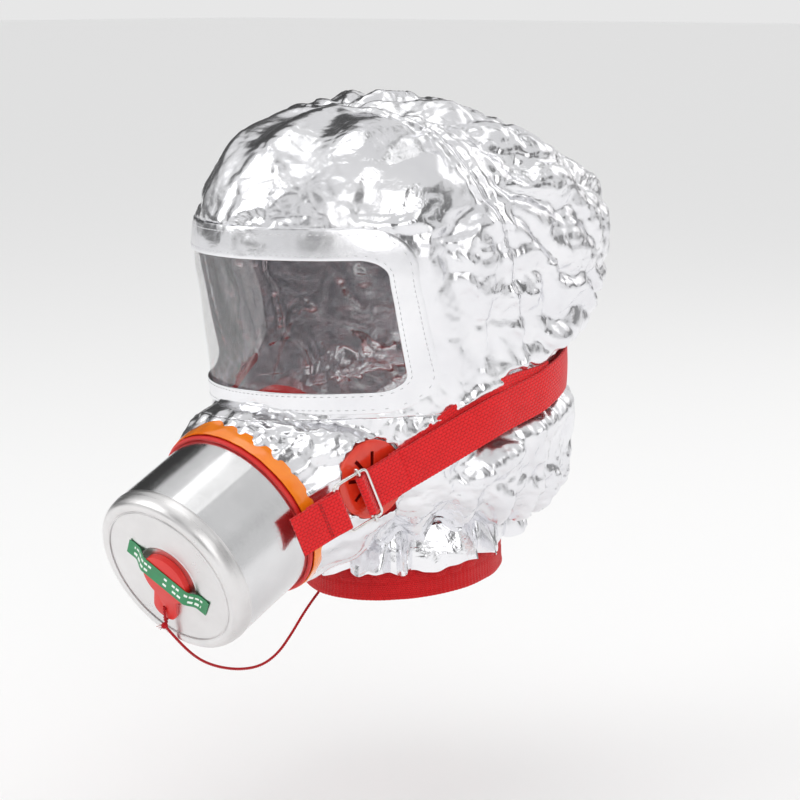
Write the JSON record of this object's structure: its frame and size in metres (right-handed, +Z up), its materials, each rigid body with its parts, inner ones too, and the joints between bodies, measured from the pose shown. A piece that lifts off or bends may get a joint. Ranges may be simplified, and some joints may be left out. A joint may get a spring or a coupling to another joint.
{
  "type": "smoke hood",
  "caption": "Foil-faced escape hood with a window, a half mask on a filter canister, a head strap with wire buckles and a knitted neck collar.",
  "frame": {"origin": "centre of the neck opening, at the middle of the knitted collar's lower edge", "axes": "+Z up, -Y forward along the line of sight, +X to the wearer's left"},
  "size_m": [0.224, 0.3738, 0.3469],
  "materials": {
    "foil_cloth": "aluminised cloth, crinkled and mirror bright",
    "foil_binding": "aluminised cloth, stitched",
    "clear_film": "clear flexible film",
    "knit": "red double knit with a diamond pattern",
    "elastic": "matte",
    "steel": "bright tinplate, polished",
    "screen_steel": "pierced sheet",
    "white_felt": "felt",
    "filter_paper": "pleated paper",
    "granules": "packed granules",
    "wire": "nickel plated wire",
    "red_rubber": "satin silicone rubber",
    "flap_rubber": "thin silicone rubber",
    "red_plastic": "translucent, glossy",
    "green_label": "printed film",
    "orange_band": "glossy tape",
    "webbing": "woven webbing",
    "red_string": "twisted cord"
  },
  "bodies": {
    "root": {"hood_front_panel": "foil_cloth", "hood_chin_panel": "foil_cloth", "hood_left_panel": "foil_cloth", "hood_right_panel": "foil_cloth", "window_film": "clear_film", "window_binding": "foil_binding", "neck_collar": "knit", "neck_frill": "foil_cloth", "neck_elastic": "elastic", "canister_shell": "steel", "canister_cover": "steel", "canister_base": "steel", "front_screen": "screen_steel", "dust_pad": "white_felt", "pleated_filter": "filter_paper", "middle_screen": "screen_steel", "catalyst_bed": "granules", "bed_felt": "white_felt", "carbon_bed": "granules", "rear_felt": "white_felt", "rear_screen": "screen_steel", "spring_plate": "wire", "half_mask": "red_rubber", "socket_band": "orange_band", "head_strap": "webbing", "string_outer": "red_string", "left_valve_seat": "red_plastic", "left_valve_cover": "red_plastic", "left_strap_tab": "webbing", "left_strap_tail": "webbing", "right_valve_seat": "red_plastic", "right_valve_cover": "red_plastic", "right_strap_tab": "webbing", "right_strap_tail": "webbing"},
    "front_plug": {"front_plug": "red_rubber", "cover_label": "green_label", "string_knot": "red_string"},
    "rear_plug": {"rear_plug": "red_rubber", "rear_knot": "red_string", "string_inner": "red_string"},
    "left_valve_disc": {"left_valve_disc": "flap_rubber"},
    "left_buckle": {"left_buckle_frame": "wire"},
    "left_slider": {"left_buckle_slider": "wire", "left_strap_end": "webbing"},
    "right_valve_disc": {"right_valve_disc": "flap_rubber"},
    "right_buckle": {"right_buckle_frame": "wire"},
    "right_slider": {"right_buckle_slider": "wire", "right_strap_end": "webbing"}
  },
  "joints": [
    {"name": "front_plug_pull", "type": "slide", "parent": "root", "child": "front_plug", "axis": [0, -0.9063, -0.4226], "range_m": [0, 0.025]},
    {"name": "rear_plug_pull", "type": "slide", "parent": "root", "child": "rear_plug", "axis": [0, 0.9063, 0.4226], "range_m": [0, 0.015]},
    {"name": "left_valve_lift", "type": "slide", "parent": "root", "child": "left_valve_disc", "axis": [0.9703, -0.2419, 0], "range_m": [0, 0.0015]},
    {"name": "left_buckle_swing", "type": "hinge", "parent": "root", "child": "left_buckle", "pos_m": [0.0692, -0.13515, 0.07178], "axis": [0.1206, 0.3729, -0.92], "range_deg": [0, 25]},
    {"name": "left_slider_slide", "type": "slide", "parent": "left_buckle", "child": "left_slider", "axis": [-0.283, -0.8754, -0.392], "range_m": [0, 0.007]},
    {"name": "right_valve_lift", "type": "slide", "parent": "root", "child": "right_valve_disc", "axis": [-0.9703, -0.2419, 0], "range_m": [0, 0.0015]},
    {"name": "right_buckle_swing", "type": "hinge", "parent": "root", "child": "right_buckle", "pos_m": [-0.0692, -0.13515, 0.07178], "axis": [0.1206, -0.3729, 0.92], "range_deg": [0, 25]},
    {"name": "right_slider_slide", "type": "slide", "parent": "right_buckle", "child": "right_slider", "axis": [0.283, -0.8754, -0.392], "range_m": [0, 0.007]}
  ]
}
